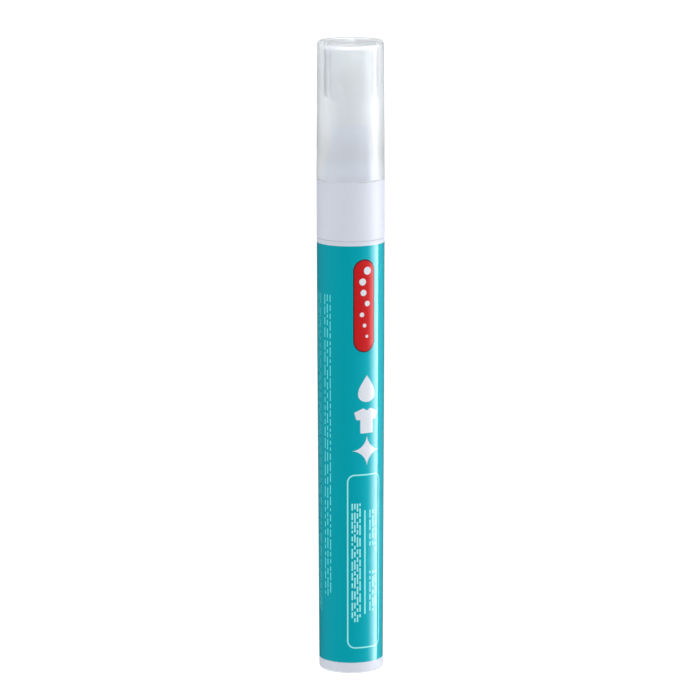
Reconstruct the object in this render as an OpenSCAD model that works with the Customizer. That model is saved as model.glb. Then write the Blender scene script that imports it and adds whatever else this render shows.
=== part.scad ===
// Stain remover pen, standing on its foot.
// Millimetres. The origin is the centre of the foot, +Z runs up the pen's axis and the printed side faces -Y.
// A press on the nib opens a spring valve, and liquid from the barrel wets the nib.

/* [Barrel] */
// Height of the barrel, from the table to its rim
barrel_h = 100.4; // [90:0.1:120]
// Outer diameter of the pen at the collar and at the mouth of the cap
body_d = 15.44; // [15:0.02:18]
// How far the barrel's rim stands in from the collar
rim_inset = 0.03; // [0:0.01:0.1]
// How far the barrel has drawn in where its draft changes
draft_mid = 0.06; // [0:0.01:0.3]
// Height at which the draft changes
draft_mid_z = 72.6; // [50:0.1:80]
// How far the barrel has drawn in at the foot
draft_foot = 0.38; // [0.1:0.01:0.8]
// Wall of the barrel
barrel_wall = 1.15; // [0.8:0.05:1.4]
// Floor of the barrel
barrel_floor = 1.6; // [1.2:0.1:3]
// Rounding of the foot's outer edge
foot_round = 0.7; // [0.2:0.05:1.1]
// Rounding inside, between the wall and the floor
floor_round = 1.5; // [0.5:0.1:3]
// Diameter of the hollow under the foot
foot_hollow_d = 10.4; // [6:0.1:11.5]
// Depth of the hollow under the foot
foot_hollow_depth = 0.4; // [0.2:0.05:0.8]

/* [Label] */
// Height of the bare band under the label
label_low = 2.6; // [1.5:0.1:6]
// Height of the bare rim above the label
label_high = 1.1; // [0.6:0.1:4]
// Thickness of the label film
label_t = 0.08; // [0.05:0.01:0.15]
// Adhesive between the label and the barrel
glue_t = 0.02; // [0.01:0.01:0.04]
// Width of the seam at the back, where the two ends of the label meet
label_seam = 0.5; // [0.2:0.1:2]

/* [Front section] */
// Height of the white collar between the barrel and the cap
collar_h = 13.4; // [8:0.1:20]
// Rounding of the collar's edges and of the cap's mouth
seam_round = 0.18; // [0.05:0.01:0.35]
// Length of the plug that is pushed into the barrel
plug_len = 8; // [6:0.1:10]
// Wall of the plug
plug_wall = 1.1; // [0.8:0.05:1.3]
// How far the retaining ring stands out from the plug
plug_ring = 0.15; // [0.08:0.01:0.3]
// Height of the retaining ring on the plug
plug_ring_h = 1.2; // [0.8:0.1:2]
// Height of the neck that carries the cap
neck_h = 2.65; // [2:0.05:5]
// Rounding of the neck's upper edge
neck_round = 0.4; // [0.1:0.05:0.6]
// How far the snap bead stands out from the neck
bead = 0.15; // [0.05:0.01:0.17]
// Height of the snap bead
bead_h = 0.9; // [0.5:0.05:1.5]
// Height of the flare above the neck
flare_h = 3.55; // [2.5:0.05:6]
// Height of the nearly straight part of the nose
nose_h = 4.4; // [3:0.1:8]
// How far the straight part of the nose draws in over its height
nose_draft = 0.25; // [0.05:0.05:0.5]
// Wall of the nose round the upper end of the liquid chamber
nose_wall = 1.3; // [0.9:0.05:1.6]
// How far the liquid chamber reaches up past the flare
chamber_rise = 1; // [0.5:0.1:3]
// Height of the cone that the cap's sleeve closes on
seal_cone_h = 2.8; // [2:0.1:5]
// Width of that cone, from the nib tube out
seal_cone_w = 1.3; // [0.9:0.05:1.6]
// Height of the nib tube above the cone
tube_h = 6.4; // [4:0.1:10]
// Wall of the nib tube
tube_wall = 0.65; // [0.5:0.05:0.9]
// Chamfer of the nib tube's outer edge
tube_chamfer = 0.2; // [0.1:0.05:0.3]
// Number of flutes in the nib's bore, for liquid and air
flutes = 4; // [3:1:6]
// Width of a flute
flute_w = 0.6; // [0.3:0.05:0.9]
// Depth of a flute
flute_depth = 0.3; // [0.15:0.05:0.4]

/* [Nib] */
// Diameter of the fibre nib
nib_d = 4.8; // [4:0.1:5.4]
// Length of the nib
nib_len = 29; // [27:0.5:31]
// How far the nib stands out of its tube
nib_out = 7.4; // [5:0.1:9]
// Height of the rounded tip
nib_tip_h = 3.6; // [2:0.1:5]
// Chamfer of the nib's inner end
nib_chamfer = 0.4; // [0.1:0.05:0.8]
// How far the nib can be pressed in
nib_stroke = 1.5; // [0.8:0.1:2]

/* [Cap] */
// Wall of the cap at its mouth
cap_wall = 1.15; // [1:0.05:1.4]
// How far the outside draws in from the mouth to the top
cap_draft = 0.24; // [0.05:0.01:0.4]
// How far the bore draws in from the mouth to the roof
bore_draft = 0.12; // [0.05:0.01:0.3]
// Thickness of the roof
roof_t = 1.4; // [1:0.1:2.5]
// Space between the nib's tip and the roof
tip_space = 2.6; // [1.5:0.1:6]
// Rounding of the cap's top edge
cap_round = 0.8; // [0.3:0.05:1]
// Diameter of the moulding gate's dimple in the top
gate_d = 2.6; // [1.5:0.1:4]
// Depth of the dimple
gate_depth = 0.3; // [0.1:0.05:0.6]
// Wall of the sealing sleeve inside the cap
sleeve_wall = 0.95; // [0.6:0.05:1.1]
// Bevel inside the sleeve's open end
sleeve_bevel = 0.3; // [0.1:0.05:0.5]
// Height of the ribs that hang from the roof
rib_h = 10.8; // [5:0.1:15]
// Width of a rib
rib_w = 1.4; // [0.8:0.05:2]
// How far a rib stands in from the bore
rib_depth = 0.55; // [0.3:0.05:0.8]
// Half the angle between the two ribs of a pair
rib_angle = 53.5; // [30:0.5:75]
// Turn of the cap on the pen
cap_turn = 2.7; // [-180:0.1:180]

/* [Valve] */
// Wall of the valve body
valve_wall = 1.5; // [1.2:0.05:1.6]
// Thickness of the rear flange that stops on the plug
flange_t = 1; // [0.6:0.1:2]
// How far the flange stands in from the outside of the plug
flange_inset = 0.35; // [0.2:0.05:0.6]
// Width of the ledge that stops the valve body at its upper end
ledge_w = 0.6; // [0.4:0.05:0.9]
// Thickness of the plate that carries the gasket
seat_t = 1.2; // [0.8:0.1:2]
// Diameter of the hole in that plate
seat_hole_d = 3.4; // [3:0.1:3.8]
// Thickness of the gasket
gasket_t = 1; // [0.6:0.1:1.6]
// How much wider the gasket's hole is than the plate's, on each side
gasket_inset = 0.2; // [0.1:0.05:0.3]
// Thickness of the valve disc on the stem
disc_t = 1; // [0.8:0.1:1.6]
// Gap for the liquid round the valve disc
disc_gap = 0.6; // [0.4:0.05:0.7]
// Diameter of the stem
stem_d = 2.2; // [1.8:0.1:2.4]
// Thickness of the head that the nib rests on
head_t = 1; // [0.8:0.1:2]
// How far the head stands in from the nib's side
head_inset = 0.3; // [0.1:0.05:0.5]
// Space left under the head when the nib is pressed in
head_space = 0.5; // [0.3:0.1:2]
// Number of slots that let the liquid pass the head
head_slots = 3; // [2:1:4]
// Width of a slot in the head
head_slot_w = 0.8; // [0.4:0.1:1]
// How far the stem's tail reaches below the retainer
tail = 0.4; // [0.2:0.1:1]
// Thickness of the spring retainer
retainer_t = 1.2; // [0.8:0.1:2]
// How far the retainer's seat is cut into the valve body
retainer_cut = 0.35; // [0.25:0.05:0.5]
// How far the snap lip reaches in under the retainer
lip_reach = 0.15; // [0.1:0.05:0.25]
// Height of the snap lip under the retainer
lip_h = 1.2; // [0.8:0.1:1.8]
// Number of ports in the retainer
ports = 6; // [4:1:7]
// Diameter of a port
port_d = 1.2; // [0.8:0.1:1.3]
// Wire of the spring
wire_d = 0.4; // [0.3:0.05:0.5]
// Space between the stem and the inside of the spring
spring_space = 0.4; // [0.2:0.05:0.5]
// Rise of the spring in one turn
spring_pitch = 1.45; // [1:0.05:2]

/* [Fits] */
// Clearance of a push fit, on each side
push_gap = 0.05; // [0.02:0.01:0.08]
// Clearance of the cap over the neck, on each side
cap_gap = 0.2; // [0.17:0.01:0.3]
// Clearance of the nib in its bore, on each side
nib_gap = 0.06; // [0.03:0.01:0.1]
// Clearance of the stem in the retainer, on each side
guide_gap = 0.15; // [0.05:0.01:0.2]
// Clearance between the valve disc and the gasket while the valve is shut
shut_gap = 0.02; // [0.01:0.01:0.05]
// Clearance between the sleeve's end and the cone that it closes on, along the pen
seal_gap = 0.2; // [0.1:0.05:0.4]

/* [Hidden] */
$fn = 96;

// Steps in a quarter of a rounded edge
arc_steps = 8;
// How far a cutter runs past what it cuts
over = 1;
// How deep a rib is rooted in the cap's wall and in its roof
rib_root = cap_wall / 2;

// Heights along the pen, from the foot up
label_z0 = label_low;
label_z1 = barrel_h - label_high;
collar_top = barrel_h + collar_h;
neck_top = collar_top + neck_h;
flare_top = neck_top + flare_h;
nose_top = flare_top + nose_h;
cone_top = nose_top + seal_cone_h;
tube_top = cone_top + tube_h;
nib_tip = tube_top + nib_out;
nib_rear = nib_tip - nib_len;
roof_z = nib_tip + tip_space;
cap_top = roof_z + roof_t;

// Heights in the valve, from the nib down
head_z = nib_rear - head_t;
seat_top = head_z - nib_stroke - head_space;
seat_under = seat_top - seat_t;
gasket_under = seat_under - gasket_t;
disc_top = gasket_under - shut_gap;
disc_under = disc_top - disc_t;
plug_rear = barrel_h - plug_len;
valve_rear = plug_rear - flange_t;
retainer_z0 = valve_rear + lip_h;
retainer_z1 = retainer_z0 + retainer_t;
tail_z = retainer_z0 - tail;
chamber_top = flare_top + chamber_rise;

// Radii
body_r = body_d / 2;
rim_r = body_r - rim_inset;
barrel_bore_r = rim_r - barrel_wall;
plug_r = barrel_bore_r - push_gap;
valve_bore_r = plug_r - plug_wall;
valve_r = valve_bore_r - push_gap;
valve_chamber_r = valve_r - valve_wall;
retainer_seat_r = valve_chamber_r + retainer_cut;
lip_r = retainer_seat_r - lip_reach;
flange_r = plug_r - flange_inset;
disc_r = valve_chamber_r - disc_gap;
stem_r = stem_d / 2;
seat_hole_r = seat_hole_d / 2;
gasket_hole_r = seat_hole_r + gasket_inset;
spring_r = stem_r + spring_space + wire_d / 2;
nib_r = nib_d / 2;
nib_bore_r = nib_r + nib_gap;
tube_r = nib_bore_r + tube_wall;
nose_r = tube_r + seal_cone_w;
nose_low_r = nose_r + nose_draft;
chamber_high_r = nose_low_r - nose_wall;
chamber_low_r = valve_bore_r - ledge_w;
cap_bore_r = body_r - cap_wall;
neck_r = cap_bore_r - cap_gap;
sleeve_bore_r = (tube_r + nose_r) / 2;
sleeve_r = sleeve_bore_r + sleeve_wall;
// The sleeve ends just above the height at which the cone is as wide as the sleeve's bore
sleeve_z = nose_top + seal_cone_h * (nose_r - sleeve_bore_r) / seal_cone_w + seal_gap;

// Points on an arc about [x, y], from angle a0 to angle a1
function arc(x, y, r, a0, a1) =
    [for (i = [0 : arc_steps]) let (a = a0 + (a1 - a0) * i / arc_steps) [x + r * cos(a), y + r * sin(a)]];

// Radius of the pen's outside at height z of the barrel, which has two drafts
function barrel_r(z) =
    z > draft_mid_z
    ? rim_r - draft_mid * (barrel_h - z) / (barrel_h - draft_mid_z)
    : rim_r - draft_mid - (draft_foot - draft_mid) * (draft_mid_z - z) / draft_mid_z;

// Radius of the cap's outside at height z
function cap_r(z) = body_r - cap_draft * (z - collar_top) / (cap_top - collar_top);

// A solid of revolution about the pen's axis
module turned(points) {
    rotate_extrude()
        polygon(points);
}

// Drafted tube with a closed foot; the label lies in a shallow recess and the plug's ring snaps into a groove
module barrel() {
    recess = label_t + glue_t;
    foot_r = barrel_r(foot_round);
    hollow_r = foot_hollow_d / 2;
    inner_foot_r = barrel_r(barrel_floor + floor_round) - barrel_wall;
    ring_z = plug_rear + plug_len / 2;
    ring_half = plug_ring_h / 2 + push_gap;
    color("whitesmoke")
        turned(concat(
            [[0, foot_hollow_depth],
             [hollow_r - foot_hollow_depth, foot_hollow_depth],
             [hollow_r, 0]],
            arc(foot_r - foot_round, foot_round, foot_round, -90, 0),
            [[barrel_r(label_z0), label_z0],
             [barrel_r(label_z0) - recess, label_z0],
             [barrel_r(draft_mid_z) - recess, draft_mid_z],
             [barrel_r(label_z1) - recess, label_z1],
             [barrel_r(label_z1), label_z1]],
            arc(rim_r - seam_round, barrel_h - seam_round, seam_round, 0, 90),
            [[barrel_bore_r, barrel_h],
             [barrel_bore_r, ring_z + ring_half + plug_ring],
             [barrel_bore_r + plug_ring, ring_z + ring_half],
             [barrel_bore_r + plug_ring, ring_z - ring_half],
             [barrel_bore_r, ring_z - ring_half - plug_ring],
             [barrel_bore_r, plug_rear],
             [barrel_r(draft_mid_z) - barrel_wall, draft_mid_z]],
            arc(inner_foot_r - floor_round, barrel_floor + floor_round, floor_round, 0, -90),
            [[0, barrel_floor]]));
}

// Printed film wrapped round the barrel, with a narrow seam at the back
module label() {
    color("darkturquoise")
        difference() {
            turned([[barrel_r(label_z0) - label_t, label_z0],
                    [barrel_r(label_z0), label_z0],
                    [barrel_r(draft_mid_z), draft_mid_z],
                    [barrel_r(label_z1), label_z1],
                    [barrel_r(label_z1) - label_t, label_z1],
                    [barrel_r(draft_mid_z) - label_t, draft_mid_z]]);
            translate([-label_seam / 2, 0, label_z0 - over])
                cube([label_seam, body_d, label_z1 - label_z0 + 2 * over]);
        }
}

// Collar, neck and nose in one moulding: it plugs the barrel, carries the cap and holds the valve and the nib
module front_section() {
    ring_z = plug_rear + plug_len / 2;
    ring_half = plug_ring_h / 2 - push_gap;
    bead_z = collar_top + neck_h / 2;
    color("white")
        difference() {
            turned(concat(
                [[valve_bore_r, plug_rear],
                 [plug_r - plug_ring, plug_rear],
                 [plug_r, plug_rear + plug_ring],
                 [plug_r, ring_z - ring_half - plug_ring],
                 [plug_r + plug_ring, ring_z - ring_half],
                 [plug_r + plug_ring, ring_z + ring_half],
                 [plug_r, ring_z + ring_half + plug_ring],
                 [plug_r, barrel_h]],
                arc(body_r - seam_round, barrel_h + seam_round, seam_round, -90, 0),
                arc(body_r - seam_round, collar_top - seam_round, seam_round, 0, 90),
                [[neck_r, collar_top],
                 [neck_r, bead_z - bead_h / 2],
                 [neck_r + bead, bead_z - bead_h / 4],
                 [neck_r + bead, bead_z + bead_h / 4],
                 [neck_r, bead_z + bead_h / 2]],
                arc(neck_r - neck_round, neck_top - neck_round, neck_round, 0, 90),
                [[nose_low_r, flare_top],
                 [nose_r, nose_top],
                 [tube_r, cone_top],
                 [tube_r, tube_top - tube_chamfer],
                 [tube_r - tube_chamfer, tube_top],
                 [nib_bore_r, tube_top],
                 [nib_bore_r, chamber_top + (chamber_high_r - nib_bore_r)],
                 [chamber_high_r, chamber_top],
                 [chamber_low_r, neck_top],
                 [chamber_low_r, seat_top],
                 [valve_bore_r, seat_top]]));
            for (i = [0 : flutes - 1])
                rotate(360 * i / flutes)
                    translate([-flute_w / 2, 0, chamber_top])
                        cube([flute_w, nib_bore_r + flute_depth, tube_top - chamber_top + over]);
        }
}

// Cup with the seat plate at its upper end, a flange that stops on the plug and a snap lip for the retainer
module valve_body() {
    color("ivory")
        turned([[lip_r, valve_rear],
                [flange_r, valve_rear],
                [flange_r, plug_rear],
                [valve_r, plug_rear],
                [valve_r, seat_top],
                [seat_hole_r, seat_top],
                [seat_hole_r, seat_under],
                [valve_chamber_r, seat_under],
                [valve_chamber_r, retainer_z1],
                [retainer_seat_r, retainer_z1],
                [retainer_seat_r, retainer_z0],
                [lip_r, retainer_z0 - lip_reach]]);
}

// Soft ring under the seat plate, which the valve disc closes on
module valve_gasket() {
    color("dimgray")
        translate([0, 0, gasket_under])
            difference() {
                cylinder(h = gasket_t, r = valve_chamber_r - push_gap);
                translate([0, 0, -over])
                    cylinder(h = gasket_t + 2 * over, r = gasket_hole_r);
            }
}

// Disc that the spring stands on, with a guide hole for the stem and ports for the liquid
module spring_retainer() {
    outer_r = retainer_seat_r - push_gap;
    port_ring_r = (spring_r + wire_d / 2 + outer_r) / 2;
    color("ivory")
        translate([0, 0, retainer_z0])
            difference() {
                cylinder(h = retainer_t, r = outer_r);
                translate([0, 0, -over])
                    cylinder(h = retainer_t + 2 * over, r = stem_r + guide_gap);
                for (i = [0 : ports - 1])
                    rotate(360 * i / ports)
                        translate([port_ring_r, 0, -over])
                            cylinder(h = retainer_t + 2 * over, d = port_d);
            }
}

// Helical compression spring between the retainer and the valve disc, swept as one tube of wire
module valve_spring() {
    sides = 6;
    rings_per_turn = 16;
    low = retainer_z1 + wire_d / 2;
    rise = disc_under - retainer_z1 - wire_d;
    turns = rise / spring_pitch;
    rings = ceil(turns * rings_per_turn);
    // The wire's section leans with the helix, so that it stays square to its own path
    lean = atan(spring_pitch / (2 * PI * spring_r));
    function wire_point(i, j) =
        let (turn = 360 * turns * i / rings,
             side = 360 * j / sides,
             out = spring_r + wire_d / 2 * cos(side),
             along = -wire_d / 2 * sin(side) * sin(lean))
        [out * cos(turn) - along * sin(turn),
         out * sin(turn) + along * cos(turn),
         low + rise * i / rings + wire_d / 2 * sin(side) * cos(lean)];
    points = [for (i = [0 : rings], j = [0 : sides - 1]) wire_point(i, j)];
    skin = [for (i = [0 : rings - 1], j = [0 : sides - 1], half = [0, 1])
        let (a = i * sides + j,
             b = i * sides + (j + 1) % sides)
        half == 0 ? [a, a + sides, b + sides] : [a, b + sides, b]];
    ends = [[for (j = [0 : sides - 1]) j],
            [for (j = [0 : sides - 1]) rings * sides + sides - 1 - j]];
    echo(least_gap_between_turns = spring_pitch * cos(lean) - wire_d);
    color("silver")
        polyhedron(points = points, faces = concat(skin, ends));
}

// Stem with the head that the nib rests on, the valve disc and the tail inside the spring
module valve_stem() {
    head_r = nib_r - head_inset;
    color("gainsboro")
        difference() {
            turned([[0, tail_z],
                    [stem_r, tail_z],
                    [stem_r, disc_under],
                    [disc_r, disc_under],
                    [disc_r, disc_top],
                    [stem_r, disc_top],
                    [stem_r, head_z],
                    [head_r, head_z],
                    [head_r, nib_rear],
                    [0, nib_rear]]);
            for (i = [0 : head_slots - 1])
                rotate(360 * i / head_slots)
                    translate([-head_slot_w / 2, stem_r, head_z - over])
                        cube([head_slot_w, head_r, head_t + 2 * over]);
        }
}

// Rod of bonded fibre with a bullet tip
module nib() {
    tip_points = [for (i = [0 : arc_steps])
        let (a = 90 * i / arc_steps)
        [nib_r * cos(a), nib_tip - nib_tip_h + nib_tip_h * sin(a)]];
    color("oldlace")
        turned(concat(
            [[0, nib_rear],
             [nib_r - nib_chamfer, nib_rear],
             [nib_r, nib_rear + nib_chamfer]],
            tip_points));
}

// One rib on the cap's bore, with a round lower end
module cap_rib() {
    rib_z = roof_z - rib_h + rib_w / 2;
    reach = cap_bore_r - bore_draft - rib_depth;
    translate([0, -reach, 0])
        rotate([90, 0, 0])
            linear_extrude(rib_depth + bore_draft + rib_root) {
                translate([0, rib_z])
                    circle(d = rib_w);
                translate([-rib_w / 2, rib_z])
                    square([rib_w, roof_z + rib_root - rib_z]);
            }
}

// Translucent cap with a sealing sleeve round the nib and two pairs of ribs under the roof
module cap() {
    top_r = cap_r(cap_top - cap_round);
    gate_r = gate_d / 2;
    color("ghostwhite", 0.6)
        rotate(cap_turn) {
            turned(concat(
                [[cap_bore_r + seam_round, collar_top]],
                arc(body_r - seam_round, collar_top + seam_round, seam_round, -90, 0),
                arc(top_r - cap_round, cap_top - cap_round, cap_round, 0, 90),
                [[gate_r, cap_top],
                 [gate_r - gate_depth, cap_top - gate_depth],
                 [0, cap_top - gate_depth],
                 [0, roof_z],
                 [sleeve_bore_r, roof_z],
                 [sleeve_bore_r, sleeve_z + sleeve_bevel],
                 [sleeve_bore_r + sleeve_bevel, sleeve_z],
                 [sleeve_r, sleeve_z],
                 [sleeve_r, roof_z],
                 [cap_bore_r - bore_draft, roof_z],
                 [cap_bore_r, neck_top],
                 [cap_bore_r, collar_top + seam_round]]));
            for (side = [0, 180], half = [-1, 1])
                rotate(side + half * rib_angle)
                    cap_rib();
        }
}

barrel();
label();
front_section();
valve_body();
valve_gasket();
spring_retainer();
valve_spring();
valve_stem();
nib();
cap();
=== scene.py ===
import math

import bmesh
import bpy
import numpy as np
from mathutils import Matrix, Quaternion, Vector


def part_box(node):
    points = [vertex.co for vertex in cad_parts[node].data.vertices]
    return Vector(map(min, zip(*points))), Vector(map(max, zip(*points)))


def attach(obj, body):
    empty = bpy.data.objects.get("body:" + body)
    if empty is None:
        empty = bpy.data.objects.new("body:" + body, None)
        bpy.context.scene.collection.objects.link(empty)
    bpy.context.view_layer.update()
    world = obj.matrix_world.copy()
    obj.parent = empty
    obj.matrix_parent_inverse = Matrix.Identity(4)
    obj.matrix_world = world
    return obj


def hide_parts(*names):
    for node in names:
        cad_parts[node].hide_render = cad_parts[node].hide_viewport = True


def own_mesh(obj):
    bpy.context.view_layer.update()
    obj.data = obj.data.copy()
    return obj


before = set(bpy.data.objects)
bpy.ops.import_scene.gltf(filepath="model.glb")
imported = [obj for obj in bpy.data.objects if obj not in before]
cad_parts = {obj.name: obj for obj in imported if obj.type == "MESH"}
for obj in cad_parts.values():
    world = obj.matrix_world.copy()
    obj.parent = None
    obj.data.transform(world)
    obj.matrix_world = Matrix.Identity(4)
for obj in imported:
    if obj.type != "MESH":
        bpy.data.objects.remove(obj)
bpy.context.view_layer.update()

# Barrel
# The pen's long tube and reservoir, moulded from glossy white polypropylene through a gate in the middle of
# the foot. The outside draws in towards the foot and is stepped in under the label.
mm = 0.001
barrel_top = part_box("barrel")[1].z
rim_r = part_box("barrel")[1].x
label_z0, label_z1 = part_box("label")[0].z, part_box("label")[1].z
draft_mid, draft_foot, draft_mid_z = 0.06 * mm, 0.38 * mm, 72.6 * mm
barrel_wall, barrel_floor, floor_round = 1.15 * mm, 1.6 * mm, 1.5 * mm
foot_round, foot_hollow_r, foot_hollow_depth = 0.7 * mm, 5.2 * mm, 0.4 * mm
gate_r, gate_h = 0.6 * mm, 0.18 * mm
stub_taper, stub_round = 0.8, 0.05 * mm
edge_round, lip_round, step_round = 0.1 * mm, 0.12 * mm, 0.02 * mm
film_t, glue_t = 0.08 * mm, 0.02 * mm
seam_round = 0.18 * mm
ring_half, ring_out = 0.6 * mm, 0.15 * mm
ring_z = (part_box("front_section")[0].z + barrel_top) / 2
round_steps, weld, sharp_edge = 192, 1e-7, 35


def barrel_r(z):
    """Radius of the barrel's outside at height z: straight from the rim to the height where the draft
    changes, and straight again from there to the foot."""
    return np.interp(z, [0, draft_mid_z, barrel_top], [rim_r - draft_foot, rim_r - draft_mid, rim_r])


def rounded(corners, closed=False, steps=8, hold=0.1 * mm):
    """Profile through corners of radius, height and rounding. A rounded corner becomes an arc that touches
    both of its sides. It turns by a about its centre c, from spoke u to spoke v, and its point at share s
    is c + (sin((1 - s) a) u + sin(s a) v) / sin a. Each straight side gets a point near either end, which
    keeps the arc's smooth shading off it."""
    corners = np.array(corners, float)
    place, size = corners[:, :2], corners[:, 2]
    runs = []
    for i, p in enumerate(place):
        if size[i] == 0:
            runs.append(p[None])
            continue
        back, on = place[i - 1] - p, place[(i + 1) % len(place)] - p
        back, on = back / np.linalg.norm(back), on / np.linalg.norm(on)
        half = math.acos(np.clip(back @ on, -1, 1)) / 2
        centre = p + (back + on) / np.linalg.norm(back + on) * size[i] / math.sin(half)
        u = p + back * size[i] / math.tan(half) - centre
        v = p + on * size[i] / math.tan(half) - centre
        s, a = np.linspace(0, 1, steps + 1)[:, None], math.pi - 2 * half
        runs.append(centre + (np.sin((1 - s) * a) * u + np.sin(s * a) * v) / math.sin(a))
    profile = []
    for i, run in enumerate(runs):
        profile.append(run)
        if i + 1 < len(runs) or closed:
            start, end = run[-1], runs[(i + 1) % len(runs)][0]
            length = np.linalg.norm(end - start)
            if length > 4 * hold:
                shares = np.array([hold / length, 1 - hold / length])[:, None]
                profile.append(start + shares * (end - start))
    return np.concatenate(profile)


def solid(name, places, faces, sharp=sharp_edge):
    """Piece from an array of places and an array of faces. Doubled points at poles are merged. The faces are
    turned outwards and shaded smooth, but for edges sharper than the given angle in degrees."""
    mesh = bpy.data.meshes.new(name)
    mesh.from_pydata(places.reshape(-1, 3).tolist(), [], faces.reshape(-1, faces.shape[-1]).tolist())
    work = bmesh.new()
    work.from_mesh(mesh)
    bmesh.ops.remove_doubles(work, verts=work.verts, dist=weld)
    bmesh.ops.recalc_face_normals(work, faces=work.faces)
    work.to_mesh(mesh)
    work.free()
    mesh.shade_smooth()
    mesh.set_sharp_from_angle(angle=math.radians(sharp))
    piece = bpy.data.objects.new(name, mesh)
    bpy.context.scene.collection.objects.link(piece)
    return piece


def turned(name, profile, closed=False, turns=None, bulge=0.0):
    """Solid of revolution about the pen's axis. At point s of the profile and angle t the surface is at
    (R cos t, R sin t, z(s)), where R = r(s) + bulge(s, t). A closed profile comes back to its own start."""
    if turns is None:
        turns = np.linspace(0, 2 * math.pi, round_steps, endpoint=False)
    r = profile[:, :1] + bulge
    z = np.broadcast_to(profile[:, 1:], (len(profile), len(turns)))
    places = np.stack([r * np.cos(turns), r * np.sin(turns), z], axis=2)
    rows, columns = len(profile), len(turns)
    i = np.arange(rows if closed else rows - 1)[:, None]
    j = np.arange(columns)[None, :]
    i_on, j_on = (i + 1) % rows, (j + 1) % columns
    faces = np.stack([
        i * columns + j, i * columns + j_on, i_on * columns + j_on, i_on * columns + j], axis=2)
    return solid(name, places, faces)


def node(tree, kind, inputs=None, **settings):
    """One shader node of that kind. An input takes a value, or is joined to the socket given for it."""
    made = tree.nodes.new("ShaderNode" + kind)
    for name, value in settings.items():
        setattr(made, name, value)
    for name, value in (inputs or {}).items():
        if isinstance(value, bpy.types.NodeSocket):
            tree.links.new(value, made.inputs[name])
        else:
            made.inputs[name].default_value = value
    return made


def effect(name, inputs, outputs):
    """Node group with named number and vector inputs, (name, default) each, and named number outputs."""
    tree = bpy.data.node_groups.new(name, "ShaderNodeTree")
    for label, default in inputs:
        kind = "NodeSocketVector" if default is None else "NodeSocketFloat"
        socket = tree.interface.new_socket(name=label, in_out="INPUT", socket_type=kind)
        if default is not None:
            socket.default_value = default
    for label in outputs:
        tree.interface.new_socket(name=label, in_out="OUTPUT", socket_type="NodeSocketFloat")
    return tree, tree.nodes.new("NodeGroupInput").outputs, tree.nodes.new("NodeGroupOutput").inputs


# What injection moulding leaves on plastic: a fine peel, and broad, soft changes of gloss along the flow
moulded, given, result = effect(
    "moulded skin",
    [("Vector", None), ("Peel Scale", 2500.0), ("Flow Scale", 90.0), ("Gloss", 0.2), ("Gloss Spread", 0.06)],
    ["Roughness", "Height", "Flow"])
peel = node(moulded, "TexNoise", {"Vector": given["Vector"], "Scale": given["Peel Scale"], "Detail": 2.0})
drawn = node(moulded, "Mapping", {"Vector": given["Vector"], "Scale": (1.0, 1.0, 0.12)})
flow = node(moulded, "TexNoise", {"Vector": drawn.outputs[0], "Scale": given["Flow Scale"], "Detail": 4.0})
swing = node(moulded, "Math", {0: flow.outputs["Fac"], 1: 0.5}, operation="SUBTRACT")
spread = node(moulded, "Math", {0: swing.outputs[0], 1: given["Gloss Spread"], 2: given["Gloss"]},
              operation="MULTIPLY_ADD")
moulded.links.new(spread.outputs[0], result["Roughness"])
moulded.links.new(peel.outputs["Fac"], result["Height"])
moulded.links.new(flow.outputs["Fac"], result["Flow"])

# Fine hairline scuffs from being carried about, which lie mostly along the pen
scuffs, given, result = effect(
    "hairline scuffs", [("Vector", None), ("Scale", 900.0), ("Amount", 0.5)], ["Mask"])
lines = []
for lean in (0.12, -0.3):
    laid = node(scuffs, "Mapping", {"Vector": given["Vector"], "Rotation": (lean, lean, 0.0),
                                    "Scale": (1.0, 1.0, 0.03)})
    grain = node(scuffs, "TexNoise", {"Vector": laid.outputs[0], "Scale": given["Scale"], "Detail": 1.0})
    off = node(scuffs, "Math", {0: grain.outputs["Fac"], 1: 0.5}, operation="SUBTRACT")
    size = node(scuffs, "Math", {0: off.outputs[0]}, operation="ABSOLUTE")
    lines.append(node(scuffs, "MapRange", {"Value": size.outputs[0], "From Max": 0.012, "To Min": 1.0,
                                           "To Max": 0.0}))
where = node(scuffs, "TexNoise", {"Vector": given["Vector"], "Scale": 160.0, "Detail": 2.0})
patchy = node(scuffs, "MapRange", {"Value": where.outputs["Fac"], "From Min": 0.52, "From Max": 0.7})
both = node(scuffs, "Math", {0: lines[0].outputs[0], 1: lines[1].outputs[0]}, operation="MAXIMUM")
kept = node(scuffs, "Math", {0: both.outputs[0], 1: patchy.outputs[0]}, operation="MULTIPLY")
scaled = node(scuffs, "Math", {0: kept.outputs[0], 1: given["Amount"]}, operation="MULTIPLY")
scuffs.links.new(scaled.outputs[0], result["Mask"])

# Rubbing where the pen stands and is set down: strongest at one height, broken up, and gone a width away
rubbed, given, result = effect(
    "rubbed edge", [("Vector", None), ("Height", 0.0), ("Width", 0.002), ("Amount", 0.5)], ["Mask"])
parts = node(rubbed, "SeparateXYZ", {0: given["Vector"]})
away = node(rubbed, "Math", {0: parts.outputs["Z"], 1: given["Height"]}, operation="SUBTRACT")
away = node(rubbed, "Math", {0: away.outputs[0]}, operation="ABSOLUTE")
share = node(rubbed, "Math", {0: away.outputs[0], 1: given["Width"]}, operation="DIVIDE")
near = node(rubbed, "MapRange", {"Value": share.outputs[0], "To Min": 1.0, "To Max": 0.0})
breaks = node(rubbed, "TexNoise", {"Vector": given["Vector"], "Scale": 700.0, "Detail": 5.0})
broken = node(rubbed, "MapRange", {"Value": breaks.outputs["Fac"], "From Min": 0.42, "From Max": 0.62})
worn = node(rubbed, "Math", {0: near.outputs[0], 1: broken.outputs[0]}, operation="MULTIPLY")
scaled = node(rubbed, "Math", {0: worn.outputs[0], 1: given["Amount"]}, operation="MULTIPLY")
rubbed.links.new(scaled.outputs[0], result["Mask"])


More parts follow.
